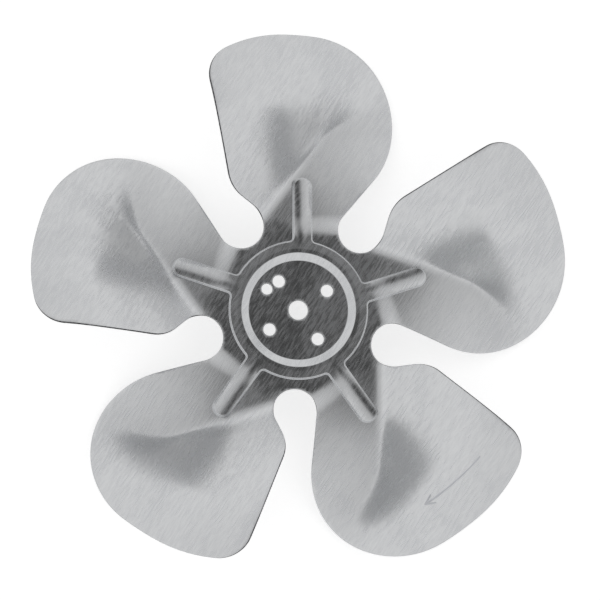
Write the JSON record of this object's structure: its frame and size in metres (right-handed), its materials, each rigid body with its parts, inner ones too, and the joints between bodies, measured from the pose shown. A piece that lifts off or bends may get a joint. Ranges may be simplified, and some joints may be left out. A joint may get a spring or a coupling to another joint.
{
  "type": "axial fan impeller",
  "caption": "Axial fan impeller stamped from one aluminium sheet, with twisted blades, a ribbed hub ring and a drilled flat centre that bolts to a motor hub.",
  "frame": {"origin": "centre of the shaft hole at the rear face of the hub disc", "axes": "+Z along the shaft axis towards the side the ribs stand out on, +Y along the first blade, +X completes a right-handed frame"},
  "size_m": [0.1961, 0.1925, 0.0475],
  "materials": {
    "aluminium_sheet": "bare rolled sheet"
  },
  "bodies": {
    "root": {"impeller": "aluminium_sheet"}
  },
  "joints": []
}
